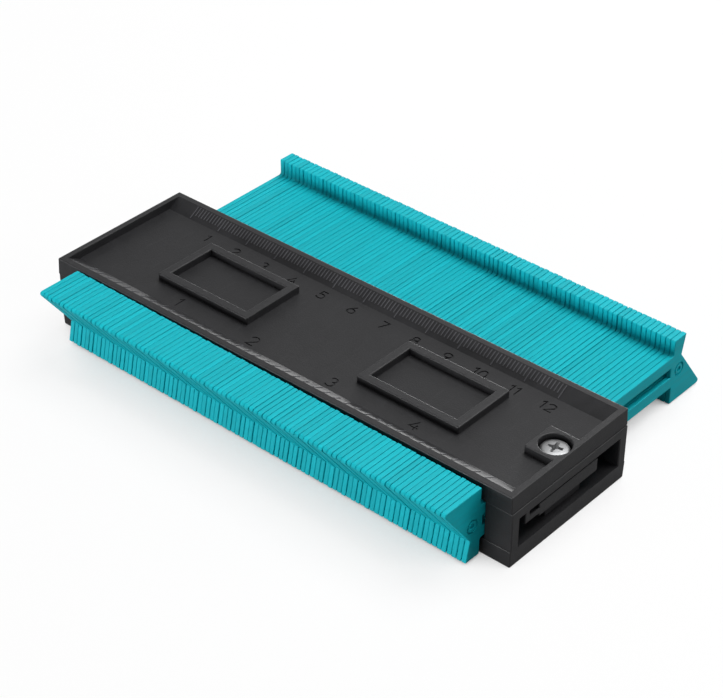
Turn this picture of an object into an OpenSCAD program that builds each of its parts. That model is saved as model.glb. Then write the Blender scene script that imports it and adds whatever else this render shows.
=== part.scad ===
// Contour gauge: a stack of slotted plates slides in a housing of two equal shells, one of them turned over.
// The plates lie side by side along X and slide along Y, and the gauge lies flat on the shell below.
// The origin is at the foot of the plates' middle, and the housing sits towards the front.

/* [Laminae] */
// Length of the stack of laminae, which sets the housing's length
stack_l = 130; // [110:0.5:150]
// Number of laminae in the stack
lamina_count = 91; // [80:1:99]
// Gap between neighbouring laminae
lamina_gap = 0.06; // [0.04:0.01:0.2]
// How far a lamina can be pushed from one end of its travel to the other
travel = 31.2; // [20:0.2:45]
// Length of a head, from its inner face to the corner that its point rounds
head_l = 13.4; // [10:0.1:18]
// How far the heads stay clear of the surface below
head_lift = 0.25; // [0.1:0.05:1.5]
// Width of the flange at its free edge
flange_w = 4.8; // [4:0.1:7]
// How far the flange stays short of the head's full height
flange_drop = 0.5; // [0:0.05:1]
// Width of the neck between flange and point
neck_w = 3.55; // [2.5:0.05:4]
// Height of the neck above the lamina's middle
neck_z = 3.55; // [2.5:0.05:4.2]
// Radius of a head's point
tip_r = 0.7; // [0.4:0.1:2]
// Radius of the fillet where the flange meets the rail
root_r = 0.7; // [0.3:0.1:1.2]
// How far the slot ends short of a head's inner face
slot_margin = 0.7; // [0.3:0.1:1.5]
// Largest shift of a lamina from its neighbours at rest
stagger = 0.08; // [0:0.02:0.12]
// How much further to the rear the first lamina lies than the last at rest
skew = 0.8; // [0:0.05:0.9]
// Gap between the front heads and the housing at rest, at the middle of the stack
rest_gap = 0.7; // [0.7:0.05:2]

/* [Housing] */
// Depth of the housing, front to rear
housing_d = 43.6; // [38:0.2:56]
// Height of the housing
housing_h = 19.9; // [19:0.1:24]
// Thickness of a shell at its rim
plate_t = 4.7; // [4.2:0.1:5.5]
// Length of each end of the housing, beside the stack
end_l = 7.6; // [7:0.1:10]
// How far an end wall stands proud of the shell that meets it
wall_step = 0.2; // [0.1:0.05:0.5]
// How far the shells' edges taper inwards to the outer faces
draft = 0.15; // [0.05:0.05:0.5]
// Width of the pillar at each side of the end window
pillar_w = 2.7; // [2:0.1:4]
// How far the pillars stay behind the long edges of the shells
pillar_inset = 0.15; // [0.05:0.05:0.4]
// Thickness of the bar over the end window
lintel_t = 1.9; // [1.2:0.1:2.4]
// Height of the bar over the end window
lintel_h = 2.5; // [1.5:0.1:3.2]

/* [Recessed face] */
// Depth of the recess
recess = 2.15; // [1:0.05:2.4]
// Flat rim along the front and rear edges
rim_w = 1.75; // [1:0.05:3]
// Flat rim along the two ends
end_rim_w = 1.6; // [1:0.05:2]
// Width of the sloped scale bands, seen from above
band_w = 3.75; // [2.5:0.05:5]
// Length of a raised frame
frame_l = 30.6; // [20:0.2:34]
// Depth of a raised frame, front to rear
frame_d = 19; // [12:0.1:24]
// Wall of a raised frame
frame_wall = 2.35; // [1:0.05:4]
// How far a raised frame stays below the rim
frame_drop = 0.2; // [0.1:0.05:0.8]
// Distance between the middles of the two raised frames
frame_pitch = 66; // [56:0.5:70]
// How far the two raised frames lie towards the screw boss, from the middle of the shell
frame_shift = -0.7; // [-1.5:0.1:1.5]

/* [Screws] */
// Diameter of a screw's shank
screw_d = 3.0; // [2.5:0.1:3.5]
// Diameter of a screw's head
screw_head_d = 7.2; // [5.5:0.1:7.4]
// Height of a screw's head
screw_head_h = 2.0; // [1.2:0.1:2.4]
// Length of a screw under its head
screw_l = 12; // [10.5:0.1:12.4]
// Gap all round between shank and clearance hole
hole_gap = 0.2; // [0.1:0.05:0.4]
// Gap all round between shank and pilot hole
pilot_gap = 0.05; // [0.03:0.01:0.1]
// Gap all round between screw head and its recess
head_gap = 0.35; // [0.2:0.05:0.6]
// Depth of a screw head's recess
head_recess = 2.9; // [2.2:0.1:3.4]
// Distance of a screw's axis from the end of the housing
screw_inset = 5.0; // [4.8:0.1:5.2]
// Width of the boss round a screw head, front to rear
boss_w = 9.9; // [9:0.1:14]
// Width of the post that a screw bites into, front to rear
post_w = 13.4; // [9:0.1:16]

/* [Guide blade] */
// Width of the blade, front to rear
blade_w = 22; // [18:0.5:26]
// Thickness of the blade
blade_t = 2.4; // [2:0.1:2.6]
// Gap between the blade and the slot, above and below
slot_gap = 0.2; // [0.1:0.05:0.4]
// Height of the blade's end flange
stop_h = 3.5; // [3:0.1:4.6]
// Thickness of the blade's end flange
stop_t = 1.3; // [1:0.1:1.4]
// How far the blade's ends lie inside the housing's ends
blade_inset = 0.5; // [0.3:0.1:0.6]
// Length of the hook at the front of the end flange
hook_l = 5.1; // [4:0.1:6]
// Wall of the hook
hook_wall = 1.6; // [1:0.1:2]
// How far the hook's foot lies above the foot of the end flange
hook_rise = 0.8; // [0:0.1:1.5]
// Gap between the pressure ribs and the rails
rib_gap = 0.15; // [0.1:0.05:0.3]
// Height of the pressure ribs
rib_h = 0.4; // [0.2:0.05:0.8]
// Width of a pressure rib
rib_w = 2; // [1:0.1:4]
// Distance of the pressure ribs from the housing's middle
rib_y = 15; // [12:0.5:17]

/* [Hidden] */
// Overlap that makes a cut pass clean through a face
over = 0.5;
// Segments of a lamina's small roundings
round_steps = 4;
// Sides of the round shapes
$fn = 48;
// Steps of a screw head's domed crown
crown_steps = 6;
// Turn between the shifts of neighbouring laminae, which spreads them evenly
stagger_turn = 137.5;
// Gap between the stack and the ends of the housing
stack_gap = 0.2;
// Gap between a post and the blade's end flange
stop_gap = 0.2;

pitch = (stack_l + lamina_gap) / lamina_count;
lamina_t = pitch - lamina_gap;
half_l = stack_l / 2 + stack_gap + end_l;
half_d = housing_d / 2;
half_h = housing_h / 2;
open_z = half_h - plate_t;
rail_z = open_z - rib_h - rib_gap;
slot_z = blade_t / 2 + slot_gap;

// The shells are drawn about the housing's middle, and the laminae about their own
rest_y = travel / 2 - rest_gap;
head_y = half_d + travel / 2;
slot_y = head_y - slot_margin;
head_z = half_h - head_lift;

// A shell's plate ends flush with its own end wall at low X, and a step short of the other shell's at high X
wall_end = -half_l + draft + end_rim_w;
screw_end = half_l - wall_step - draft - end_rim_w;
recess_z = half_h - recess;
band_y = half_d - draft - rim_w;
floor_y = band_y - band_w;

screw_x = half_l - screw_inset;
seat_z = half_h - head_recess;
post_x = half_l - end_l;
post_l = end_l - blade_inset - stop_t - stop_gap;
boss_x = screw_x - boss_w / 2;

shell_colour = "#353538";
lamina_colour = "#1fb4c2";
screw_colour = "#c9cacb";

pair_count = ceil(lamina_count / 2);

function two_digits(n) = n < 10 ? str("0", n) : str(n);

function pair_name(k) = str("laminae_", two_digits(k + 1));

function unit(v) = v / norm(v);

// Points of an arc of radius r that rounds the corner b between the points a and c
function rounded(a, b, c, r) =
    let (
        u = unit(a - b),
        v = unit(c - b),
        half = acos(u * v) / 2,
        middle = b + unit(u + v) * r / sin(half),
        first = b + u * r / tan(half) - middle,
        start = atan2(first.y, first.x),
        sweep = -sign(cross(u, v)) * (180 - 2 * half)
    )
    [for (k = [0 : round_steps]) middle + r * [cos(start + sweep * k / round_steps),
                                               sin(start + sweep * k / round_steps)]];

// Rear half of a lamina's outline, from the foot under the lower rail round to the top of the upper rail
function head_outline() =
    let (
        foot = [head_y, -head_z],
        tip = [head_y + head_l, -head_z],
        neck = [head_y + neck_w, neck_z],
        crest = [head_y + flange_w, head_z - flange_drop],
        brow = [head_y, head_z - flange_drop],
        root = [head_y, rail_z],
        rail = [0, rail_z]
    )
    concat(
        [[head_y, -rail_z], foot],
        rounded(foot, tip, neck, tip_r),
        [neck, crest, brow],
        rounded(brow, root, rail, root_r)
    );

// The front half is the rear half turned half round
module lamina_profile() {
    rear = head_outline();
    difference() {
        polygon(concat(rear, -rear));
        square([2 * slot_y, 2 * slot_z], center = true);
    }
}

// Extrudes a profile drawn in Y and Z along X, over the given length and centred
module along_x(length) {
    rotate([90, 0, 90])
        linear_extrude(length, center = true)
            children();
}

// Extrudes a profile drawn in X and Z along Y, over the given length and centred
module along_y(length) {
    rotate([90, 0, 0])
        linear_extrude(length, center = true)
            children();
}

// Places a shape that is drawn about the housing's middle
module in_housing() {
    translate([0, -rest_y, half_h])
        children();
}

module lamina(i) {
    x = (i + 0.5) * pitch - (stack_l + lamina_gap) / 2;
    y = stagger * sin(i * stagger_turn) - skew * x / stack_l;
    translate([x, y, half_h])
        along_x(lamina_t)
            lamina_profile();
}

// Two neighbouring laminae that slide as one, or the single one at the end of the stack
module laminae(k) {
    color(lamina_colour)
        for (i = [2 * k : min(2 * k + 1, lamina_count - 1)])
            lamina(i);
}

// Section of a shell's plate between two edges, which taper towards each other
module plate_section(low, high) {
    polygon([
        [low, open_z],
        [high, open_z],
        [high - draft, half_h],
        [low + draft, half_h]
    ]);
}

module plate() {
    intersection() {
        along_x(2 * half_l)
            plate_section(-half_d, half_d);
        along_y(2 * half_d)
            plate_section(-half_l, half_l - wall_step);
    }
}

// Recess of the outer face, with a sloped band for a scale along its front and rear
module face_recess() {
    slope = band_w / recess;
    translate([(wall_end + screw_end) / 2, 0, 0])
        along_x(screw_end - wall_end)
            polygon([
                [-floor_y, recess_z],
                [floor_y, recess_z],
                [band_y + slope * over, half_h + over],
                [-band_y - slope * over, half_h + over]
            ]);
}

module raised_frame() {
    height = recess - frame_drop;
    translate([0, 0, recess_z - over])
        linear_extrude(height + over)
            difference() {
                square([frame_l, frame_d], center = true);
                square([frame_l - 2 * frame_wall, frame_d - 2 * frame_wall], center = true);
            }
}

// Boss round the screw head, level with the rim
module head_boss() {
    translate([boss_x, -boss_w / 2, recess_z - over])
        cube([screw_end + over - boss_x, boss_w, recess + over]);
}

// Post between the plate and the guide blade, as wide as given
module post(width) {
    translate([post_x, -width / 2, blade_t / 2])
        cube([post_l, width, open_z - blade_t / 2 + over]);
}

// Two pillars and a bar, which leave a window in the end of the housing
module end_wall() {
    wall_y = half_d - pillar_inset;
    for (side = [-1, 1])
        translate([half_l - end_l, side * (wall_y - pillar_w / 2) - pillar_w / 2, -open_z])
            cube([end_l, pillar_w, 2 * open_z]);
    translate([half_l - lintel_t, -wall_y, -open_z])
        cube([lintel_t, 2 * wall_y, lintel_h]);
}

module pressure_ribs() {
    for (side = [-1, 1])
        translate([-stack_l / 2, side * rib_y - rib_w / 2, open_z - rib_h])
            cube([stack_l, rib_w, rib_h + over]);
}

// Recess for the screw head and clearance hole for its shank
module head_hole() {
    translate([screw_x, 0, seat_z])
        cylinder(d = screw_head_d + 2 * head_gap, h = head_recess + over);
    translate([screw_x, 0, 0])
        cylinder(d = screw_d + 2 * hole_gap, h = half_h);
}

// Blind hole that a screw from the other shell bites into
module pilot_hole() {
    depth = screw_l - seat_z + over;
    translate([screw_x, 0, 0])
        cylinder(d = screw_d + 2 * pilot_gap, h = depth);
}

// One moulding serves as both shells: screw head at one end, window and pilot hole at the other
module shell() {
    difference() {
        union() {
            difference() {
                plate();
                face_recess();
            }
            for (side = [-1, 1])
                translate([frame_shift + side * frame_pitch / 2, 0, 0])
                    raised_frame();
            head_boss();
            post(boss_w);
            pressure_ribs();
            mirror([1, 0, 0]) {
                end_wall();
                post(post_w);
            }
        }
        head_hole();
        mirror([1, 0, 0])
            pilot_hole();
    }
}

module top_shell() {
    color(shell_colour)
        in_housing()
            shell();
}

module bottom_shell() {
    color(shell_colour)
        in_housing()
            rotate([0, 180, 0])
                shell();
}

// End flange of the blade, with a hook towards the front that reaches up to the bar over the window
module stop_profile() {
    front = -blade_w / 2 - hook_l;
    foot = -stop_h / 2 + hook_rise;
    hook_h = open_z - lintel_h - slot_gap - foot;
    translate([-blade_w / 2, -stop_h / 2])
        square([blade_w, stop_h]);
    translate([front, foot]) {
        square([hook_l + over, hook_wall]);
        square([hook_wall, hook_h]);
    }
}

module guide_blade() {
    blade_end = half_l - blade_inset;
    color(shell_colour)
        in_housing()
            difference() {
                union() {
                    cube([2 * blade_end, blade_w, blade_t], center = true);
                    translate([blade_end - stop_t / 2, 0, 0])
                        along_x(stop_t)
                            stop_profile();
                }
                for (side = [-1, 1])
                    translate([side * screw_x, 0, 0])
                        cylinder(d = screw_d + 2 * hole_gap, h = 2 * blade_t, center = true);
            }
}

// Pan-head screw with its seat at the level of the recess
module screw() {
    edge = screw_head_h / 2;
    crown = screw_head_h - edge;
    dome = [for (k = [0 : crown_steps])
        let (turn = 90 * k / crown_steps)
        [screw_head_d / 2 * cos(turn), edge + crown * sin(turn)]];
    translate([screw_x, 0, seat_z])
        rotate_extrude()
            polygon(concat(
                [[0, -screw_l], [screw_d / 2, -screw_l], [screw_d / 2, 0], [screw_head_d / 2, 0]],
                dome
            ));
}

module upper_screw() {
    color(screw_colour)
        in_housing()
            screw();
}

module lower_screw() {
    color(screw_colour)
        in_housing()
            rotate([0, 180, 0])
                screw();
}

top_shell();
bottom_shell();
guide_blade();
upper_screw();
lower_screw();
for (k = [0 : pair_count - 1])
    laminae(k);
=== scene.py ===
"""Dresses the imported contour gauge: mouldings, scales, numerals, screws and a studio stage."""

import math

import bmesh
import bpy
from bpy.props import FloatProperty, FloatVectorProperty, IntProperty, PointerProperty
from mathutils import Matrix, Vector


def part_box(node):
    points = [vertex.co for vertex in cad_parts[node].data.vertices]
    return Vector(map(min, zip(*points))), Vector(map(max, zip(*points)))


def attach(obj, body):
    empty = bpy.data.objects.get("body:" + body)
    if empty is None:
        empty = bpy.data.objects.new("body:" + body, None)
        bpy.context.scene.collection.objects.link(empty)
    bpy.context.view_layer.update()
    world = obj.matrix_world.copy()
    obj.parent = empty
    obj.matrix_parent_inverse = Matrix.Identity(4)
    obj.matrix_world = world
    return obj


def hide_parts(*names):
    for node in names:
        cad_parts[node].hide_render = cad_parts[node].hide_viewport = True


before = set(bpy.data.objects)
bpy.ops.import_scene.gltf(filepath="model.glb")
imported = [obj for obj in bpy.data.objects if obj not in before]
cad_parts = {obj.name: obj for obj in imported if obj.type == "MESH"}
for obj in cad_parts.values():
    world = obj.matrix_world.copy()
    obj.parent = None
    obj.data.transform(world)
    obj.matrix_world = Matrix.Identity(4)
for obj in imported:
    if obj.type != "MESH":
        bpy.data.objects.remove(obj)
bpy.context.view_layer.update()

bl_info = {
    "name": "Contour gauge",
    "version": (1, 0, 0),
    "blender": (4, 5, 0),
    "location": "3D View > Sidebar > Contour gauge",
    "description": "Mouldings, scales, numerals, screws and a stage for the packed contour gauge",
    "category": "Object",
}

# Pieces are shaped in millimetres and brought to metres when they are finished
MM = 0.001

# Sizes of the moulding and the stack, as in the part's source
RECESS = 2.15
RIM_W = 1.75
BAND_W = 3.75
DRAFT = 0.15
LAMINA_COUNT = 91
LAMINA_GAP = 0.06
LAMINAE_PER_BODY = 2
STAGGER = 0.08
STAGGER_TURN = 137.5
SKEW = 0.8

# The housing's middle and top, and the stack's length, as packed
SHELL_LOW, SHELL_HIGH = (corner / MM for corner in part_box("top_shell"))
HOUSING_Y = (SHELL_LOW.y + SHELL_HIGH.y) / 2
HALF_D = (SHELL_HIGH.y - SHELL_LOW.y) / 2
TOP = SHELL_HIGH.z
STACK_L = (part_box("laminae_46")[1].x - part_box("laminae_01")[0].x) / MM
PITCH = (STACK_L + LAMINA_GAP) / LAMINA_COUNT
STACK_START = -(STACK_L + LAMINA_GAP) / 2

# The sloped bands run from the rim down to the recess floor
BAND_Y = HALF_D - DRAFT - RIM_W
BAND_L = math.hypot(BAND_W, RECESS)
BAND_SLOPE = math.atan2(RECESS, BAND_W)
FLOOR_Z = TOP - RECESS

# Corners of a CAD mesh this near are one, faces this near to flat are one, and sharper edges
# than the last angle are rounded
MERGE_REACH = 0.002
FLAT_ANGLE = math.radians(0.5)
SHARP_ANGLE = math.radians(30)
ROUND_SEGMENTS = 2

# Scales: where they start, their divisions, and the numerals' distance from the housing's middle
SCALE_ZERO = -63.5
CENTIMETRE = 10.0
CENTIMETRES = 12
CENTIMETRE_STEPS = 10
CENTIMETRE_TEXT_Y = 12.4
INCH = 25.4
INCHES = 5
INCH_STEPS = 8
INCH_TEXT_Y = -13.4

# A tick is narrower at its crown, and its root is sunk in the band
TICK_CROWN = 0.7
TICK_ROOT = 0.05

# Numerals, as shares of their height: a digit's room, the gap between two, and the narrower 1.
# They are then widened, and their strokes are narrower at the foot
NUMERAL_W = 0.6
NUMERAL_GAP = 0.26
ONE_W = 0.34
ONE_INSET = 0.12
NUMERAL_STRETCH = 1.2
STROKE_FOOT = 0.5
ARC_STEP = 20
MITRE_LIMIT = 0.6

# Round mould mark near each neck of a lamina: a ring groove around a dimple
MARK_OUTER = 1.9
MARK_INNER = 1.4
MARK_DIMPLE = 0.75
MARK_DEPTH = 0.4
MARK_Y = 40.3
MARK_Z = 0.4
CUT_REACH = 1.0
CUT_SPARE = 0.1

# Screw: its head, its thread with a plain neck and a tapered point, and its cross recess
SCREW_SIDES = 48
SCREW_TURN = math.radians(14)
SMOOTH_ANGLE = math.radians(35)
HEAD_H = 2.0
HEAD_EDGE = 0.15
HEAD_CROWN = (
    (1.0, 1.05), (0.985, 1.3), (0.95, 1.52), (0.88, 1.72), (0.76, 1.86), (0.5, 1.96), (0.2, HEAD_H),
)
THREAD_PITCH = 1.06
ROWS_PER_PITCH = 8
CORE_R = 1.15
THREAD_H = 0.34
THREAD_SHARPNESS = 3.2
NECK_R = 1.4
NECK_L = 0.5
POINT_SHARE = 0.35
POINT_L = 2.0
CROSS_HALF = 0.5
CROSS_CORNER = 0.87
CROSS_FLOOR = 0.75
CROSS_TOP = 2.3
CROSS_TAPER = 0.45

# Stage, in metres and watts
FLOOR_REACH = 3.0
FLOOR_LEVEL = -0.02 * MM
SHADE_REACH = 0.02
WHITE_SHARE = 0.85
MIRROR_SHARE = 0.25
AMBIENT = 0.16
LIGHT_AIM = Vector((0, -0.01, 0.01))
# Name, place, width, height and power
LIGHTS = (
    ("top_light", (0.1, 0.34, 0.92), 0.7, 0.7, 9.6),
    ("right_rear_light", (0.9, 0.65, 0.4), 0.4, 0.4, 2.2),
    ("low_front_strip", (-0.3, -1.2, 0.13), 1.2, 0.12, 12.0),
    ("low_rear_strip", (-0.5, 1.3, 0.09), 0.6, 0.11, 6.8),
)

# The photograph's camera: angles in degrees, and millimetres from the housing's middle
CAMERA_AZIMUTH = 40.88
CAMERA_ELEVATION = 35.30
CAMERA_ROLL = 0.257
CAMERA_BACK = 522.2
CAMERA_RIGHT = 7.76
CAMERA_UP = 11.62
CAMERA_LENS = 105.53
SENSOR_W = 36.0


def linear(code):
    """Linear colour of an sRGB hex value."""
    parts = [int(code[i:i + 2], 16) / 255 for i in (1, 3, 5)]
    return [p / 12.92 if p <= 0.04045 else ((p + 0.055) / 1.055) ** 2.4 for p in parts]


def rgba(colour):
    return (*colour, 1.0)


def per_mm(size):
    """Texture scale that gives a pattern of the given size in millimetres."""
    return 1 / (size * MM)


def add(tree, kind, sockets=None, **settings):
    """Adds a node with its settings, and sets or links its inputs."""
    made = tree.nodes.new(kind)
    for key, value in settings.items():
        setattr(made, key, value)
    for key, value in (sockets or {}).items():
        if isinstance(value, bpy.types.NodeSocket):
            tree.links.new(value, made.inputs[key])
        else:
            made.inputs[key].default_value = value
    return made


def new_material(name):
    made = bpy.data.materials.get(name)
    if made:
        bpy.data.materials.remove(made)
    made = bpy.data.materials.new(name)
    made.use_nodes = True
    made.node_tree.nodes.clear()
    return made, made.node_tree


def moulded_abs(name, colour, wear, grain):
    """ABS, moulded in a spark-eroded tool: satin charcoal with a fine grain, faint sink and flow
    marks, and pale rubbed spots."""
    made, tree = new_material(name)
    place = add(tree, "ShaderNodeTexCoord").outputs["Object"]
    flow = add(tree, "ShaderNodeTexNoise", {
        "Vector": place, "Scale": per_mm(9), "Detail": 4.0, "Distortion": 1.6,
    })
    dark = rgba([c * 0.8 for c in colour])
    pale = rgba([c * 1.25 for c in colour])
    body = add(tree, "ShaderNodeMix", {
        "Factor": flow.outputs["Fac"], "A": dark, "B": pale,
    }, data_type="RGBA")
    long_way = add(tree, "ShaderNodeMapping", {"Vector": place, "Scale": (1.0, 0.12, 0.09)})
    scuff = add(tree, "ShaderNodeTexNoise", {
        "Vector": long_way.outputs["Vector"], "Scale": per_mm(0.7), "Detail": 2.0,
    })
    rubbed = add(tree, "ShaderNodeMapRange", {
        "Value": scuff.outputs["Fac"],
        "From Min": 0.58, "From Max": 0.8, "To Min": 0.0, "To Max": wear,
    })
    worn = rgba([c * 2.2 + 0.012 for c in colour])
    tone = add(tree, "ShaderNodeMix", {
        "Factor": rubbed.outputs["Result"], "A": body.outputs["Result"], "B": worn,
    }, data_type="RGBA")
    # The real grain is about 0.1 mm, too fine to show, so it is drawn at 0.35 mm
    fine = add(tree, "ShaderNodeTexNoise", {
        "Vector": place, "Scale": per_mm(0.35), "Detail": 3.0,
    })
    sink = add(tree, "ShaderNodeTexNoise", {
        "Vector": place, "Scale": per_mm(2.2), "Detail": 2.0,
    })
    ripple = add(tree, "ShaderNodeBump", {
        "Height": sink.outputs["Fac"], "Strength": 0.15, "Distance": 0.15 * MM,
    })
    bump = add(tree, "ShaderNodeBump", {
        "Height": fine.outputs["Fac"], "Strength": grain, "Distance": 0.07 * MM,
        "Normal": ripple.outputs["Normal"],
    })
    gloss = add(tree, "ShaderNodeMapRange", {
        "Value": flow.outputs["Fac"],
        "From Min": 0.3, "From Max": 0.7, "To Min": 0.44, "To Max": 0.54,
    })
    shader = add(tree, "ShaderNodeBsdfPrincipled", {
        "Base Color": tone.outputs["Result"], "Roughness": gloss.outputs["Result"],
        "Normal": bump.outputs["Normal"], "IOR": 1.54, "Specular IOR Level": 0.3,
    })
    add(tree, "ShaderNodeOutputMaterial", {"Surface": shader.outputs["BSDF"]})
    return made


def moulded_acetal(name, colour, spread):
    """Moulded acetal: satin turquoise, each plate a slightly different tone, with fine rub lines
    along its travel."""
    made, tree = new_material(name)
    place = add(tree, "ShaderNodeTexCoord").outputs["Object"]
    split = add(tree, "ShaderNodeSeparateXYZ", {"Vector": place})
    steps = add(tree, "ShaderNodeMath", {
        0: split.outputs["X"], 1: -STACK_START * MM,
    }, operation="ADD")
    number = add(tree, "ShaderNodeMath", {
        0: steps.outputs[0], 1: per_mm(PITCH),
    }, operation="MULTIPLY")
    plate = add(tree, "ShaderNodeMath", {0: number.outputs[0]}, operation="FLOOR")
    chance = add(tree, "ShaderNodeTexWhiteNoise", {"W": plate.outputs[0]}, noise_dimensions="1D")
    low = rgba([c * (1 - spread) for c in colour])
    high = rgba([min(c * (1 + spread), 1) for c in colour])
    tone = add(tree, "ShaderNodeMix", {
        "Factor": chance.outputs["Value"], "A": low, "B": high,
    }, data_type="RGBA")
    along = add(tree, "ShaderNodeMapping", {"Vector": place, "Scale": (1.0, 0.03, 0.5)})
    lines = add(tree, "ShaderNodeTexNoise", {
        "Vector": along.outputs["Vector"], "Scale": per_mm(0.5), "Detail": 3.0,
    })
    rub = add(tree, "ShaderNodeMapRange", {
        "Value": lines.outputs["Fac"],
        "From Min": 0.3, "From Max": 0.7, "To Min": 0.93, "To Max": 1.05,
    })
    rubbed = add(tree, "ShaderNodeVectorMath", {
        0: tone.outputs["Result"], "Scale": rub.outputs["Result"],
    }, operation="SCALE")
    bump = add(tree, "ShaderNodeBump", {
        "Height": lines.outputs["Fac"], "Strength": 0.12, "Distance": 0.04 * MM,
    })
    gloss = add(tree, "ShaderNodeMapRange", {
        "Value": lines.outputs["Fac"],
        "From Min": 0.3, "From Max": 0.7, "To Min": 0.46, "To Max": 0.56,
    })
    shader = add(tree, "ShaderNodeBsdfPrincipled", {
        "Base Color": rubbed.outputs["Vector"], "Roughness": gloss.outputs["Result"],
        "Normal": bump.outputs["Normal"], "IOR": 1.48, "Specular IOR Level": 0.18,
    })
    add(tree, "ShaderNodeOutputMaterial", {"Surface": shader.outputs["BSDF"]})
    return made


def plated_steel(name, colour):
    """Zinc-plated steel: bright cool grey, satin from tumbling, with small dull patches."""
    made, tree = new_material(name)
    place = add(tree, "ShaderNodeTexCoord").outputs["Object"]
    patch = add(tree, "ShaderNodeTexNoise", {
        "Vector": place, "Scale": per_mm(1.1), "Detail": 4.0,
    })
    dull = rgba([c * 0.78 for c in colour])
    tone = add(tree, "ShaderNodeMix", {
        "Factor": patch.outputs["Fac"], "A": rgba(colour), "B": dull,
    }, data_type="RGBA")
    gloss = add(tree, "ShaderNodeMapRange", {
        "Value": patch.outputs["Fac"],
        "From Min": 0.3, "From Max": 0.7, "To Min": 0.42, "To Max": 0.55,
    })
    fine = add(tree, "ShaderNodeTexNoise", {
        "Vector": place, "Scale": per_mm(0.25), "Detail": 2.0,
    })
    bump = add(tree, "ShaderNodeBump", {
        "Height": fine.outputs["Fac"], "Strength": 0.15, "Distance": 0.03 * MM,
    })
    shader = add(tree, "ShaderNodeBsdfPrincipled", {
        "Base Color": tone.outputs["Result"], "Roughness": gloss.outputs["Result"],
        "Normal": bump.outputs["Normal"], "Metallic": 1.0,
    })
    add(tree, "ShaderNodeOutputMaterial", {"Surface": shader.outputs["BSDF"]})
    return made


def link_object(name, data):
    made = bpy.data.objects.new(name, data)
    bpy.context.scene.collection.objects.link(made)
    return made


def plain_mesh(helper):
    """Mesh of an object with its modifiers applied. The object and its own mesh are removed."""
    graph = bpy.context.evaluated_depsgraph_get()
    made = bpy.data.meshes.new_from_object(helper.evaluated_get(graph))
    mesh = helper.data
    bpy.data.objects.remove(helper)
    bpy.data.meshes.remove(mesh)
    return made


def joined_copy(node):
    """Copy of a CAD node's mesh in millimetres, its corners merged and its flat faces joined."""
    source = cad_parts[node].data
    corners = [v.co / MM for v in source.vertices]
    mesh = bpy.data.meshes.new(node + "_shape")
    mesh.from_pydata(corners, [], [p.vertices[:] for p in source.polygons])
    work = bmesh.new()
    work.from_mesh(mesh)
    bmesh.ops.remove_doubles(work, verts=work.verts, dist=MERGE_REACH)
    bmesh.ops.dissolve_limit(work, angle_limit=FLAT_ANGLE, verts=work.verts, edges=work.edges)
    work.to_mesh(mesh)
    work.free()
    return mesh


def rounded(mesh, width):
    """Mesh with its outer edges rounded, but for those of narrow ledges.

    The new faces take the second material slot."""
    work = bmesh.new()
    work.from_mesh(mesh)
    weight = work.edges.layers.float.new("bevel_weight_edge")
    for edge in work.edges:
        if edge.is_convex and edge.calc_face_angle(0.0) > SHARP_ANGLE:
            across = min(face.calc_area() for face in edge.link_faces) / edge.calc_length()
            edge[weight] = 1.0 if across > 2 * width else 0.0
    work.to_mesh(mesh)
    work.free()
    helper = link_object("rounding", mesh)
    for _ in range(2):
        mesh.materials.append(None)
    bevel = helper.modifiers.new("Rounding", "BEVEL")
    bevel.width = width
    bevel.segments = ROUND_SEGMENTS
    bevel.limit_method = "WEIGHT"
    bevel.use_clamp_overlap = False
    # The rounded faces take the second slot, which on the black pieces is the paler edge finish:
    # partly wear, partly a painted highlight
    bevel.material = 1
    return plain_mesh(helper)


def cut(mesh, tool, crossing=False):
    """Mesh with the tool's volume cut out of it. The tool's own solids may be crossing."""
    helper = link_object("cutting", mesh)
    cutter = link_object("cutter", tool)
    taking = helper.modifiers.new("Cut", "BOOLEAN")
    taking.operation = "DIFFERENCE"
    taking.solver = "EXACT"
    taking.use_self = crossing
    taking.object = cutter
    made = plain_mesh(helper)
    bpy.data.objects.remove(cutter)
    bpy.data.meshes.remove(tool)
    return made


def join(meshes, name):
    """One mesh from several, which are removed."""
    work = bmesh.new()
    for mesh in meshes:
        work.from_mesh(mesh)
        bpy.data.meshes.remove(mesh)
    bmesh.ops.recalc_face_normals(work, faces=work.faces)
    made = bpy.data.meshes.new(name)
    work.to_mesh(made)
    work.free()
    return made


def trimmed(mesh, level):
    """Mesh with all above the level cut off, and closed there."""
    work = bmesh.new()
    work.from_mesh(mesh)
    bmesh.ops.bisect_plane(
        work, geom=[*work.verts, *work.edges, *work.faces],
        plane_co=(0, 0, level), plane_no=(0, 0, 1), clear_outer=True)
    bmesh.ops.holes_fill(work, edges=[e for e in work.edges if e.is_boundary])
    work.to_mesh(mesh)
    work.free()
    return mesh


def piece(name, mesh, body, slot, materials, *nodes):
    """Finished piece: its mesh brought to metres, riding on its body."""
    mesh.transform(Matrix.Scale(MM, 4))
    mesh.materials.clear()
    for material in materials:
        mesh.materials.append(material)
    mesh.name = name
    made = link_object(name, mesh)
    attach(made, body)
    if nodes:
        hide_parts(*nodes)
    return made


def turned_over(mesh):
    """Copy of a mesh turned over with the housing, as the lower shell is."""
    made = mesh.copy()
    made.transform(Matrix.Translation((0, 0, TOP)) @ Matrix.Rotation(math.pi, 4, "Y"))
    return made


def prism(outline, low, high, shrink=1.0):
    """Closed mesh between an outline at the high level and the same, shrunk, at the low one."""
    count = len(outline)
    points = [(x * shrink, y * shrink, low) for x, y in outline]
    points += [(x, y, high) for x, y in outline]
    faces = [tuple(reversed(range(count))), tuple(range(count, 2 * count))]
    for i in range(count):
        after = (i + 1) % count
        faces.append((i, after, count + after, count + i))
    mesh = bpy.data.meshes.new("prism")
    mesh.from_pydata(points, [], faces)
    return mesh


def circle(radius, sides):
    angles = [2 * math.pi * i / sides for i in range(sides)]
    return [(radius * math.cos(a), radius * math.sin(a)) for a in angles]


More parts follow.
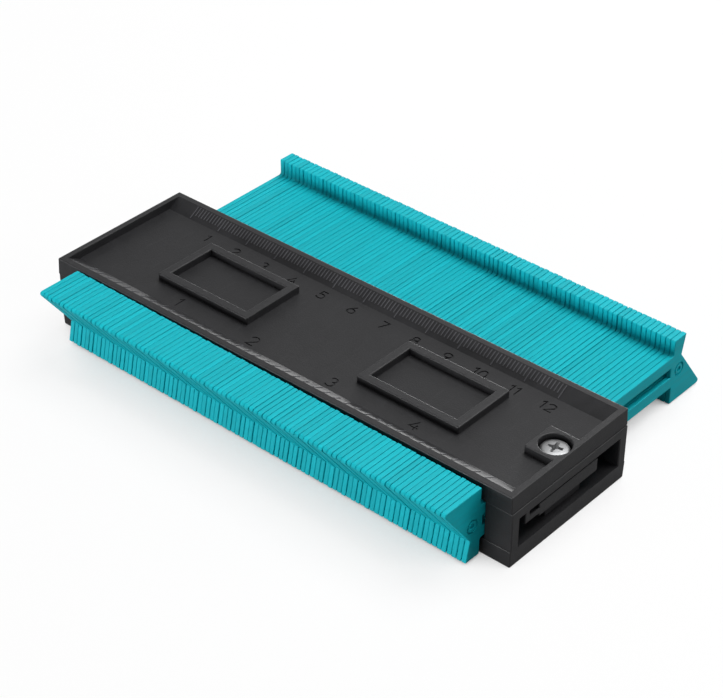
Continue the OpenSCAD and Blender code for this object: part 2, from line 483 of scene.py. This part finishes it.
def arc(x, y, radius, start, end, tall=1.0):
    """Points along an arc, with its angles in degrees."""
    steps = max(2, round(abs(end - start) / ARC_STEP))
    angles = [math.radians(start + (end - start) * k / steps) for k in range(steps + 1)]
    return [(x + radius * math.cos(a), y + radius * tall * math.sin(a)) for a in angles]


# Strokes of each numeral, one unit high and 0.6 wide. One that ends where it starts is a loop
STROKES = {
    "0": [arc(0.3, 0.5, 0.28, 0, 360, 1.75)],
    "1": [[(0.12, 0.8), (0.34, 1.0), (0.34, 0.0)]],
    "2": [arc(0.3, 0.71, 0.28, 165, -38) + [(0.03, 0.0), (0.6, 0.0)]],
    "3": [arc(0.29, 0.75, 0.24, 150, -70) + arc(0.29, 0.27, 0.27, 70, -150)],
    "4": [[(0.36, 1.0), (0.0, 0.28), (0.62, 0.28)], [(0.44, 0.6), (0.44, 0.0)]],
    "5": [[(0.55, 1.0), (0.12, 1.0), (0.08, 0.56)] + arc(0.28, 0.31, 0.31, 120, -150)],
    "6": [arc(0.3, 0.3, 0.29, 0, 360), [(0.46, 1.0), (0.24, 0.74), (0.07, 0.48), (0.01, 0.3)]],
    "7": [[(0.0, 1.0), (0.58, 1.0), (0.2, 0.0)]],
    "8": [arc(0.3, 0.27, 0.28, 0, 360), arc(0.3, 0.77, 0.23, 0, 360)],
    "9": [arc(0.3, 0.7, 0.29, 0, 360), [(0.14, 0.0), (0.36, 0.26), (0.53, 0.52), (0.59, 0.7)]],
}


def stroke(path, half, low, high):
    """Closed solid along a flat path, half as wide to each side at its high level."""
    loop = math.dist(path[0], path[-1]) < 1e-6
    spots = [Vector(spot) for spot in (path[:-1] if loop else path)]
    count = len(spots)
    rim = ((STROKE_FOOT, low), (-STROKE_FOOT, low), (-1, high), (1, high))
    points = []
    for i, spot in enumerate(spots):
        before = spots[i - 1] if loop or i > 0 else None
        after = spots[(i + 1) % count] if loop or i < count - 1 else None
        ways = [(spot - before).normalized()] if before else []
        ways += [(after - spot).normalized()] if after else []
        along = sum(ways, Vector((0, 0))).normalized()
        side = Vector((-along.y, along.x)) * half / max(along.dot(ways[0]), MITRE_LIMIT)
        points += [(*(spot + side * reach), z) for reach, z in rim]
    faces = []
    for i in range(count if loop else count - 1):
        a, b = 4 * i, 4 * ((i + 1) % count)
        faces += [(a + k, a + (k + 1) % 4, b + (k + 1) % 4, b + k) for k in range(4)]
    if not loop:
        faces += [(3, 2, 1, 0), tuple(range(4 * count - 4, 4 * count))]
    mesh = bpy.data.meshes.new("stroke")
    mesh.from_pydata(points, [], faces)
    return mesh


def numeral(text, height, width, depth):
    """Solids of a number's strokes, in X and Y and centred, that reach as deep up as down."""
    made = []
    wide = NUMERAL_STRETCH * height
    reach = 0.0
    for digit in text:
        start = reach - (ONE_INSET if digit == "1" else 0.0)
        for path in STROKES[digit]:
            flat = [((start + x) * wide, (y - 0.5) * height) for x, y in path]
            made.append(stroke(flat, width / 2, -depth, depth))
        reach = start + (ONE_W if digit == "1" else NUMERAL_W) + NUMERAL_GAP
    middle = (reach - NUMERAL_GAP) / 2 * wide
    for mesh in made:
        mesh.transform(Matrix.Translation((-middle, 0, 0)))
    return made


def new_tree(name, base, inputs, result):
    """Geometry-node tree with a base geometry and named inputs, and its input sockets."""
    tree = bpy.data.node_groups.new(name, "GeometryNodeTree")
    face = tree.interface
    for socket, kind in ((base, "Geometry"), *inputs):
        face.new_socket(socket, in_out="INPUT", socket_type="NodeSocket" + kind)
    face.new_socket(result, in_out="OUTPUT", socket_type="NodeSocketGeometry")
    return tree, add(tree, "NodeGroupInput").outputs


def scale_tree():
    """Geometry nodes that set ticks in a row, some of them longer."""
    tree, given = new_tree("scale_ticks", "Tick", (
        ("Count", "Int"), ("First", "Float"), ("Spacing", "Float"), ("Long every", "Int"),
        ("Short length", "Float"), ("Long length", "Float"), ("Finish", "Material"),
    ), "Ticks")
    start = add(tree, "ShaderNodeCombineXYZ", {"X": given["First"]})
    step = add(tree, "ShaderNodeCombineXYZ", {"X": given["Spacing"]})
    row = add(tree, "GeometryNodeMeshLine", {
        "Count": given["Count"], "Start Location": start.outputs[0], "Offset": step.outputs[0],
    }, mode="OFFSET")
    index = add(tree, "GeometryNodeInputIndex")
    turn = add(tree, "ShaderNodeMath", {
        0: index.outputs[0], 1: given["Long every"],
    }, operation="MODULO")
    is_short = add(tree, "ShaderNodeMath", {0: turn.outputs[0], 1: 0.5}, operation="GREATER_THAN")
    length = add(tree, "ShaderNodeMix", {
        "Factor": is_short.outputs[0], "A": given["Long length"], "B": given["Short length"],
    })
    size = add(tree, "ShaderNodeCombineXYZ", {"X": 1.0, "Y": length.outputs["Result"], "Z": 1.0})
    ticks = add(tree, "GeometryNodeInstanceOnPoints", {
        "Points": row.outputs["Mesh"], "Instance": given["Tick"], "Scale": size.outputs[0],
    })
    real = add(tree, "GeometryNodeRealizeInstances", {"Geometry": ticks.outputs[0]})
    finish = add(tree, "GeometryNodeSetMaterial", {
        "Geometry": real.outputs[0], "Material": given["Finish"],
    })
    add(tree, "NodeGroupOutput", {"Ticks": finish.outputs[0]})
    return tree


def stack_tree():
    """Geometry nodes that set laminae side by side, each with its own shift, lift and thickness."""
    tree, given = new_tree("lamina_stack", "Lamina", (
        ("Count", "Int"), ("First number", "Int"), ("Pitch", "Float"), ("Stack start", "Float"),
        ("Stagger", "Float"), ("Stagger turn", "Float"), ("Slant", "Float"), ("Slack", "Float"),
        ("Thinning", "Float"), ("Lift", "Float"), ("Seed", "Int"), ("Finish", "Material"),
    ), "Laminae")
    row = add(tree, "GeometryNodeMeshLine", {"Count": given["Count"]}, mode="OFFSET")
    index = add(tree, "GeometryNodeInputIndex")
    number = add(tree, "ShaderNodeMath", {
        0: index.outputs[0], 1: given["First number"],
    }, operation="ADD")
    middle = add(tree, "ShaderNodeMath", {0: number.outputs[0], 1: 0.5}, operation="ADD")
    across = add(tree, "ShaderNodeMath", {
        0: middle.outputs[0], 1: given["Pitch"], 2: given["Stack start"],
    }, operation="MULTIPLY_ADD")
    angle = add(tree, "ShaderNodeMath", {
        0: number.outputs[0], 1: given["Stagger turn"],
    }, operation="MULTIPLY")
    wave = add(tree, "ShaderNodeMath", {0: angle.outputs[0]}, operation="SINE")
    slant = add(tree, "ShaderNodeMath", {
        0: across.outputs[0], 1: given["Slant"],
    }, operation="MULTIPLY")
    shift = add(tree, "ShaderNodeMath", {
        0: wave.outputs[0], 1: given["Stagger"], 2: slant.outputs[0],
    }, operation="MULTIPLY_ADD")
    chance = add(tree, "FunctionNodeRandomValue", {
        "ID": number.outputs[0], "Seed": given["Seed"],
    })
    rise = add(tree, "ShaderNodeMath", {
        0: chance.outputs[1], 1: given["Lift"],
    }, operation="MULTIPLY")
    place = add(tree, "ShaderNodeCombineXYZ", {
        "X": across.outputs[0], "Y": shift.outputs[0], "Z": rise.outputs[0],
    })
    points = add(tree, "GeometryNodeSetPosition", {
        "Geometry": row.outputs["Mesh"], "Position": place.outputs[0],
    })
    # All laminae lose the slack, and only a few lose much of the thinning
    other = add(tree, "ShaderNodeMath", {0: given["Seed"], 1: 1.0}, operation="ADD")
    loss = add(tree, "FunctionNodeRandomValue", {
        "ID": number.outputs[0], "Seed": other.outputs[0],
    })
    rare = add(tree, "ShaderNodeMath", {0: loss.outputs[1], 1: 3.0}, operation="POWER")
    thin = add(tree, "ShaderNodeMath", {
        0: rare.outputs[0], 1: given["Thinning"], 2: given["Slack"],
    }, operation="MULTIPLY_ADD")
    thickness = add(tree, "ShaderNodeMath", {0: 1.0, 1: thin.outputs[0]}, operation="SUBTRACT")
    size = add(tree, "ShaderNodeCombineXYZ", {"X": thickness.outputs[0], "Y": 1.0, "Z": 1.0})
    laminae = add(tree, "GeometryNodeInstanceOnPoints", {
        "Points": points.outputs[0], "Instance": given["Lamina"], "Scale": size.outputs[0],
    })
    real = add(tree, "GeometryNodeRealizeInstances", {"Geometry": laminae.outputs[0]})
    finish = add(tree, "GeometryNodeSetMaterial", {
        "Geometry": real.outputs[0], "Material": given["Finish"],
    })
    add(tree, "NodeGroupOutput", {"Laminae": finish.outputs[0]})
    return tree


def grown(mesh, tree, values):
    """Mesh that a geometry-node tree makes from a base mesh and its named inputs."""
    helper = link_object("growing", mesh)
    nodes = helper.modifiers.new("Nodes", "NODES")
    nodes.node_group = tree
    sockets = {s.name: s.identifier for s in tree.interface.items_tree if s.in_out == "INPUT"}
    for name, value in values.items():
        nodes[sockets[name]] = value
    return plain_mesh(helper)


def length_property(name, description, default):
    """Length that a user may change. It is given in millimetres and kept in metres."""
    return FloatProperty(
        name=name, description=description, default=default * MM, min=0.0, precision=5,
        unit="LENGTH")


def share_property(name, description, default):
    return FloatProperty(
        name=name, description=description, default=default, min=0.0, max=0.3, subtype="FACTOR")


def colour_property(name, description, code):
    return FloatVectorProperty(
        name=name, description=description, default=linear(code), min=0, max=1, subtype="COLOR")


class GaugeSizes(bpy.types.PropertyGroup):
    shell_round: length_property("Shell rounding", "Rounding of the shells' edges", 0.25)
    lamina_round: length_property("Lamina rounding", "Rounding of the laminae's edges", 0.2)
    slack: share_property("Slack", "Share by which every lamina is thinner than its place", 0.035)
    thinning: share_property("Thinning", "Largest further share that a lamina is thinner by", 0.09)
    lamina_lift: length_property("Lamina lift", "Largest height of a lamina over its place", 0.08)
    seed: IntProperty(
        name="Seed", description="Seed of the small differences between laminae", default=7)
    centimetre_tick: length_property("Centimetre tick", "Width of a centimetre scale's tick", 0.36)
    inch_tick: length_property("Inch tick", "Width of an inch scale's tick", 0.5)
    centimetre_rise: length_property(
        "Centimetre rise", "Height of a centimetre tick above its band", 0.14)
    inch_rise: length_property("Inch rise", "Height of an inch tick above its band", 0.15)
    short_tick: length_property("Short tick", "Length of a short tick", 2.6)
    tick_inset: length_property("Tick inset", "How far below the rim a centimetre tick starts", 0.3)
    centimetre_size: length_property(
        "Centimetre numerals", "Height of the centimetre numerals", 3.0)
    inch_size: length_property("Inch numerals", "Height of the inch numerals", 3.4)
    numeral_stroke: length_property("Numeral stroke", "Width of a numeral's strokes", 0.55)
    centimetre_depth: length_property(
        "Centimetre depth", "Depth of the centimetre numerals", 0.3)
    inch_depth: length_property("Inch depth", "Depth of the inch numerals", 0.22)
    recess_width: length_property(
        "Cross recess", "Width of a screw's cross recess from tip to tip", 4.4)


class GaugeColours(bpy.types.PropertyGroup):
    housing: colour_property("Housing", "Charcoal of the shells", "#1e1e20")
    # Paler rounded edges: partly rubbed wear, partly a painted highlight of the light they catch
    housing_edge: colour_property("Housing edges", "Rubbed edges of the shells, paler also as a painted highlight", "#4a4a4d")
    # The ticks are paler than the shells: partly rubbed wear, partly a painted highlight of the
    # light caught on their raised crowns
    scales: colour_property("Scales", "Raised ticks of the scales", "#444447")
    laminae: colour_property("Laminae", "Turquoise of the laminae", "#0cb5c2")
    screws: colour_property("Screws", "Plating of the screws", "#a9aaab")
    floor: colour_property("Floor", "Pale floor", "#f4f4f4")
    floor_bounce: colour_property(
        "Floor bounce", "Grey in which the floor lights the gauge from below", "#828282")


class GaugeSettings(bpy.types.PropertyGroup):
    sizes: PointerProperty(
        name="Sizes", description="Sizes that the pieces are made to", type=GaugeSizes)
    colours: PointerProperty(
        name="Colours", description="Colours of the materials", type=GaugeColours)


def settings():
    return bpy.context.scene.contour_gauge


def housing_finish():
    """The moulded face and the rubbed edges of the black pieces. The edges are paler partly from
    wear and partly as a painted highlight, standing in for the light that their rounding catches.
    """
    colours = settings().colours
    face = bpy.data.materials.get("moulded_charcoal_abs")
    edge = bpy.data.materials.get("worn_and_highlit_edge_charcoal_abs")
    return [
        face or moulded_abs(
            "moulded_charcoal_abs", list(colours.housing), wear=0.22, grain=0.5),
        # The paler edge colour is partly wear and partly a painted highlight
        edge or moulded_abs(
            "worn_and_highlit_edge_charcoal_abs", list(colours.housing_edge), wear=0.4, grain=0.25),
    ]


class GAUGE_OT_shells(bpy.types.Operator):
    """Builds both shells from one moulding, with rounded edges and engraved numerals"""

    bl_idname = "gauge.shells"
    bl_label = "Shells"

    def execute(self, context):
        sizes = settings().sizes
        shell = rounded(joined_copy("top_shell"), sizes.shell_round / MM)
        # The fifth inch ends under the screw's boss and has no numeral
        rows = (
            (range(1, CENTIMETRES + 1), CENTIMETRE, CENTIMETRE_TEXT_Y,
             sizes.centimetre_size / MM, sizes.centimetre_depth / MM),
            (range(1, INCHES), INCH, INCH_TEXT_Y, sizes.inch_size / MM, sizes.inch_depth / MM),
        )
        glyphs = []
        for numbers, unit, y, height, depth in rows:
            for n in numbers:
                place = (SCALE_ZERO + unit * n, HOUSING_Y + y, FLOOR_Z)
                for glyph in numeral(str(n), height, sizes.numeral_stroke / MM, depth):
                    glyph.transform(Matrix.Translation(place))
                    glyphs.append(glyph)
        shell = cut(shell, join(glyphs, "numerals"), crossing=True)
        finish = housing_finish()
        lower = turned_over(shell)
        piece("top_shell_moulding", shell, "housing", "housing_plastic", finish, "top_shell")
        piece("bottom_shell_moulding", lower, "housing", "housing_plastic", finish, "bottom_shell")
        return {"FINISHED"}


class GAUGE_OT_scales(bpy.types.Operator):
    """Sets the raised ticks of the centimetre and inch scales on the bands of both shells"""

    bl_idname = "gauge.scales"
    bl_label = "Scales"

    def execute(self, context):
        sizes = settings().sizes
        colour = list(settings().colours.scales)
        # Paler ticks: partly wear, partly a painted highlight on their crowns
        finish = moulded_abs("tick_wear_and_highlight_charcoal_abs", colour, wear=0.3, grain=0.25)
        tree = scale_tree()
        inset = sizes.tick_inset / MM
        tilt = Matrix.Rotation(-BAND_SLOPE, 4, "X")
        half_turn = Matrix.Rotation(math.pi, 4, "Z")
        front = Matrix.Translation((0, HOUSING_Y - BAND_Y, TOP)) @ tilt
        rear = Matrix.Translation((0, HOUSING_Y + BAND_Y, TOP)) @ half_turn @ tilt
        # The rear band is turned to face the front one, so its scale runs the other way
        rows = (
            ("centimetre_ticks", rear @ Matrix.Translation((0, inset, 0)),
             CENTIMETRES * CENTIMETRE_STEPS + 1, -SCALE_ZERO, -CENTIMETRE / CENTIMETRE_STEPS,
             CENTIMETRE_STEPS, sizes.centimetre_tick / MM, sizes.centimetre_rise / MM),
            ("inch_ticks", front,
             INCHES * INCH_STEPS + 1, SCALE_ZERO, INCH / INCH_STEPS,
             INCH_STEPS, sizes.inch_tick / MM, sizes.inch_rise / MM),
        )
        for name, place, count, first, spacing, every, width, rise in rows:
            half = width / 2
            bar = prism([(-half, 0.0), (half, 0.0), (half, 1.0), (-half, 1.0)], -TICK_ROOT, rise)
            for v in bar.vertices:
                if v.co.z > 0:
                    v.co.x *= TICK_CROWN
            ticks = grown(bar, tree, {
                "Count": count, "First": first, "Spacing": spacing, "Long every": every,
                "Short length": sizes.short_tick / MM, "Long length": BAND_L - 2 * inset,
                "Finish": finish,
            })
            ticks.transform(place)
            ticks = trimmed(ticks, TOP)
            lower = turned_over(ticks)
            piece("top_" + name, ticks, "housing", "housing_plastic", [finish])
            piece("bottom_" + name, lower, "housing", "housing_plastic", [finish])
        return {"FINISHED"}


class GAUGE_OT_guide_blade(bpy.types.Operator):
    """Rounds the edges of the guide blade"""

    bl_idname = "gauge.guide_blade"
    bl_label = "Guide blade"

    def execute(self, context):
        mesh = rounded(joined_copy("guide_blade"), settings().sizes.shell_round / MM)
        finish = housing_finish()
        piece("guide_blade_moulding", mesh, "housing", "housing_plastic", finish, "guide_blade")
        return {"FINISHED"}


class GAUGE_OT_laminae(bpy.types.Operator):
    """Sets the rounded laminae side by side, two to a body, with small differences between them"""

    bl_idname = "gauge.laminae"
    bl_label = "Laminae"

    def execute(self, context):
        sizes = settings().sizes
        colour = list(settings().colours.laminae)
        finish = moulded_acetal("moulded_turquoise_acetal", colour, spread=0.07)
        one = self.lamina(sizes.lamina_round / MM)
        tree = stack_tree()
        for first in range(0, LAMINA_COUNT, LAMINAE_PER_BODY):
            name = "laminae_%02d" % (first // LAMINAE_PER_BODY + 1)
            mesh = grown(one.copy(), tree, {
                "Count": min(LAMINAE_PER_BODY, LAMINA_COUNT - first), "First number": first,
                "Pitch": PITCH, "Stack start": STACK_START, "Stagger": STAGGER,
                "Stagger turn": math.radians(STAGGER_TURN), "Slant": -SKEW / STACK_L,
                "Slack": sizes.slack, "Thinning": sizes.thinning,
                "Lift": sizes.lamina_lift / MM, "Seed": sizes.seed, "Finish": finish,
            })
            mesh.transform(Matrix.Translation((0, 0, TOP / 2)))
            piece(name + "_moulding", mesh, name, "lamina_plastic", [finish], name)
        bpy.data.meshes.remove(one)
        return {"FINISHED"}

    def lamina(self, rounding):
        """One rounded lamina around the origin, from the last body, which holds only one."""
        last = "laminae_%02d" % math.ceil(LAMINA_COUNT / LAMINAE_PER_BODY)
        low, high = (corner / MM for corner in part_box(last))
        one = joined_copy(last)
        one.transform(Matrix.Translation(-(low + high) / 2))
        one = rounded(one, rounding)
        # The marks show on the outermost lamina
        for side in (-1, 1):
            groove = cut(
                prism(circle(MARK_OUTER, 32), -MARK_DEPTH, CUT_REACH),
                prism(circle(MARK_INNER, 32), -MARK_DEPTH - CUT_SPARE, CUT_REACH + CUT_SPARE))
            dimple = prism(circle(MARK_DIMPLE, 20), -MARK_DEPTH, CUT_REACH)
            mark = join([groove, dimple], "mould_mark")
            place = Matrix.Translation(((high.x - low.x) / 2, side * MARK_Y, -side * MARK_Z))
            mark.transform(place @ Matrix.Rotation(math.pi / 2, 4, "Y"))
            one = cut(one, mark)
        return one


class GAUGE_OT_screws(bpy.types.Operator):
    """Builds the pan-head screws with a cross recess and a thread"""

    bl_idname = "gauge.screws"
    bl_label = "Screws"

    def execute(self, context):
        low, high = (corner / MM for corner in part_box("upper_screw"))
        rings = self.thread(high.z - low.z - HEAD_H) + self.head((high.x - low.x) / 2)
        mesh = cut(self.turned(rings), self.cross(settings().sizes.recess_width / MM / 2))
        mesh.transform(Matrix.Rotation(SCREW_TURN, 4, "Z"))
        seat = ((low.x + high.x) / 2, (low.y + high.y) / 2, high.z - HEAD_H)
        mesh.transform(Matrix.Translation(seat))
        mesh.polygons.foreach_set("use_smooth", [True] * len(mesh.polygons))
        mesh.set_sharp_from_angle(angle=SMOOTH_ANGLE)
        finish = [plated_steel("zinc_plated_steel", list(settings().colours.screws))]
        lower = turned_over(mesh)
        piece("upper_screw_metal", mesh, "housing", "screw_metal", finish, "upper_screw")
        piece("lower_screw_metal", lower, "housing", "screw_metal", finish, "lower_screw")
        return {"FINISHED"}

    def thread(self, length):
        """Rings of radius and height from the point up to the head's seat."""
        rings = []
        rows = int(length / THREAD_PITCH * ROWS_PER_PITCH)
        for k in range(rows + 1):
            z = -length + length * k / rows
            taper = min(1.0, POINT_SHARE + (z + length) / POINT_L)
            ring = []
            for i in range(SCREW_SIDES):
                turn = (z / THREAD_PITCH - i / SCREW_SIDES) % 1.0
                ridge = max(0.0, 1 - abs(turn - 0.5) * THREAD_SHARPNESS)
                ring.append((taper * (CORE_R + THREAD_H * ridge) if z < -NECK_L else NECK_R, z))
            rings.append(ring)
        return rings

    def head(self, radius):
        """Rings of the flat seat, the short side and the low crown."""
        profile = [(radius - HEAD_EDGE, 0.0), (radius, HEAD_EDGE)]
        profile += [(radius * share, z) for share, z in HEAD_CROWN]
        return [[spot] * SCREW_SIDES for spot in profile]

    def turned(self, rings):
        """Closed mesh around the rings."""
        sides = SCREW_SIDES
        points = [(0, 0, rings[0][0][1])]
        for ring in rings:
            for i, (r, z) in enumerate(ring):
                a = 2 * math.pi * i / sides
                points.append((r * math.cos(a), r * math.sin(a), z))
        points.append((0, 0, HEAD_H))
        faces = [(0, 1 + (i + 1) % sides, 1 + i) for i in range(sides)]
        for k in range(len(rings) - 1):
            a, b = 1 + k * sides, 1 + (k + 1) * sides
            for i in range(sides):
                after = (i + 1) % sides
                faces.append((a + i, a + after, b + after, b + i))
        end = len(points) - 1
        faces += [(end - sides + i, end - sides + (i + 1) % sides, end) for i in range(sides)]
        mesh = bpy.data.meshes.new("screw")
        mesh.from_pydata(points, [], faces)
        return mesh

    def cross(self, arm):
        """Cross recess with slanted inner corners, narrower at its foot."""
        quarter = [
            (arm, -CROSS_HALF), (arm, CROSS_HALF),
            (CROSS_CORNER, CROSS_HALF), (CROSS_HALF, CROSS_CORNER),
        ]
        outline = []
        for k in range(4):
            c, s = math.cos(k * math.pi / 2), math.sin(k * math.pi / 2)
            outline += [(x * c - y * s, x * s + y * c) for x, y in quarter]
        return prism(outline, CROSS_FLOOR, CROSS_TOP, CROSS_TAPER)


class GAUGE_OT_stage(bpy.types.Operator):
    """Sets the pale floor, the soft lights, the white surroundings and the camera"""

    bl_idname = "gauge.stage"
    bl_label = "Stage"

    def execute(self, context):
        scene = context.scene
        scene.view_settings.view_transform = "Standard"
        self.floor()
        self.surroundings(scene)
        self.lights()
        self.camera(scene)
        return {"FINISHED"}

    def seen(self, tree, ray, mirrored):
        """How far a ray shows the white background: in full to the camera, less in reflections."""
        shown = add(tree, "ShaderNodeMath", {
            0: ray["Is Glossy Ray"], 1: mirrored,
        }, operation="MULTIPLY")
        for kind in ("Is Camera Ray", "Is Transmission Ray"):
            shown = add(tree, "ShaderNodeMath", {
                0: ray[kind], 1: shown.outputs[0],
            }, operation="MAXIMUM")
        return shown.outputs[0]

    def floor(self):
        """Matt floor that is white to the camera, but for the gauge's shadow."""
        made, tree = new_material("pale_studio_floor")
        colours = settings().colours
        ray = add(tree, "ShaderNodeLightPath").outputs
        # Right under the gauge the floor is in its shade: no white shows between the laminae
        shade = add(tree, "ShaderNodeAmbientOcclusion", {"Distance": SHADE_REACH}, samples=4)
        white_part = add(tree, "ShaderNodeMapRange", {
            "Value": shade.outputs["AO"],
            "From Min": 0.1, "From Max": 0.35, "To Min": 0.0, "To Max": WHITE_SHARE,
        })
        share = add(tree, "ShaderNodeMath", {
            0: self.seen(tree, ray, MIRROR_SHARE), 1: white_part.outputs["Result"],
        }, operation="MULTIPLY")
        tone = add(tree, "ShaderNodeMix", {
            "Factor": ray["Is Camera Ray"],
            "A": rgba(colours.floor_bounce), "B": rgba(colours.floor),
        }, data_type="RGBA")
        matt = add(tree, "ShaderNodeBsdfDiffuse", {"Color": tone.outputs["Result"]})
        white = add(tree, "ShaderNodeEmission", {"Color": (1, 1, 1, 1), "Strength": 1.0})
        mixed = add(tree, "ShaderNodeMixShader", {
            0: share.outputs[0], 1: matt.outputs[0], 2: white.outputs[0],
        })
        # From below the floor is clear, so that the underside can be seen
        below = add(tree, "ShaderNodeNewGeometry").outputs["Backfacing"]
        clear = add(tree, "ShaderNodeBsdfTransparent")
        surface = add(tree, "ShaderNodeMixShader", {
            0: below, 1: mixed.outputs[0], 2: clear.outputs[0],
        })
        add(tree, "ShaderNodeOutputMaterial", {"Surface": surface.outputs[0]})
        mesh = bpy.data.meshes.new("floor")
        corners = ((-1, -1), (1, -1), (1, 1), (-1, 1))
        points = [(x * FLOOR_REACH, y * FLOOR_REACH, FLOOR_LEVEL) for x, y in corners]
        mesh.from_pydata(points, [], [(0, 1, 2, 3)])
        mesh.materials.append(made)
        link_object("floor", mesh)

    def surroundings(self, scene):
        """White surroundings that light the gauge only dimly."""
        world = bpy.data.worlds.new("white_surroundings")
        world.use_nodes = True
        tree = world.node_tree
        tree.nodes.clear()
        ray = add(tree, "ShaderNodeLightPath").outputs
        # Reflections show the white backdrop near the horizon and the dimmer room above it
        around = add(tree, "ShaderNodeTexCoord").outputs["Generated"]
        way = add(tree, "ShaderNodeSeparateXYZ", {"Vector": around})
        low = add(tree, "ShaderNodeMapRange", {
            "Value": way.outputs["Z"],
            "From Min": 0.1, "From Max": 0.8, "To Min": 1.0, "To Max": 0.0,
        })
        level = add(tree, "ShaderNodeMapRange", {
            "Value": self.seen(tree, ray, low.outputs["Result"]), "To Min": AMBIENT, "To Max": 1.0,
        })
        sky = add(tree, "ShaderNodeBackground", {
            "Color": (1, 1, 1, 1), "Strength": level.outputs["Result"],
        })
        add(tree, "ShaderNodeOutputWorld", {"Surface": sky.outputs[0]})
        scene.world = world

    def lights(self):
        for name, place, width, height, power in LIGHTS:
            lamp = bpy.data.lights.new(name, "AREA")
            lamp.energy = power
            lamp.shape = "RECTANGLE"
            lamp.size = width
            lamp.size_y = height
            made = link_object(name, lamp)
            made.location = place
            made.visible_camera = False
            way = LIGHT_AIM - Vector(place)
            made.rotation_euler = way.to_track_quat("-Z", "Y").to_euler()

    def camera(self, scene):
        angles = (CAMERA_AZIMUTH, CAMERA_ELEVATION, CAMERA_ROLL)
        azimuth, elevation, roll = (math.radians(angle) for angle in angles)
        level = Vector((math.sin(azimuth), -math.cos(azimuth), 0))
        back = level * math.cos(elevation) + Vector((0, 0, math.sin(elevation)))
        right = Vector((math.cos(azimuth), math.sin(azimuth), 0))
        up = back.cross(right)
        spot = back * CAMERA_BACK + right * CAMERA_RIGHT + up * CAMERA_UP
        spot = (spot + Vector((0, HOUSING_Y, 0))) * MM
        across = right * math.cos(roll) + up * math.sin(roll)
        upward = up * math.cos(roll) - right * math.sin(roll)
        lens = bpy.data.cameras.new("camera")
        lens.sensor_fit = "HORIZONTAL"
        lens.sensor_width = SENSOR_W
        lens.lens = CAMERA_LENS
        lens.clip_start = 0.01
        lens.clip_end = 20.0
        made = link_object("camera", lens)
        turn = Matrix((across, upward, back)).transposed()
        made.matrix_world = Matrix.Translation(spot) @ turn.to_4x4()
        scene.camera = made


class GAUGE_PT_panel(bpy.types.Panel):
    bl_idname = "GAUGE_PT_panel"
    bl_label = "Contour gauge"
    bl_space_type = "VIEW_3D"
    bl_region_type = "UI"
    bl_category = "Contour gauge"

    def draw(self, context):
        values = context.scene.contour_gauge
        for group in (values.sizes, values.colours):
            box = self.layout.box()
            for name in group.__annotations__:
                box.prop(group, name)
        for operator in OPERATORS:
            self.layout.operator(operator.bl_idname)


OPERATORS = (
    GAUGE_OT_shells, GAUGE_OT_scales, GAUGE_OT_guide_blade, GAUGE_OT_laminae, GAUGE_OT_screws,
    GAUGE_OT_stage,
)
CLASSES = (GaugeSizes, GaugeColours, GaugeSettings, *OPERATORS, GAUGE_PT_panel)


def register():
    for cls in CLASSES:
        bpy.utils.register_class(cls)
    bpy.types.Scene.contour_gauge = PointerProperty(
        name="Contour gauge", description="Sizes and colours of the gauge", type=GaugeSettings)


def unregister():
    del bpy.types.Scene.contour_gauge
    for cls in reversed(CLASSES):
        bpy.utils.unregister_class(cls)


def main():
    register()
    bpy.ops.gauge.shells()
    bpy.ops.gauge.scales()
    bpy.ops.gauge.guide_blade()
    bpy.ops.gauge.laminae()
    bpy.ops.gauge.screws()
    bpy.ops.gauge.stage()


if __name__ == "__main__":
    main()
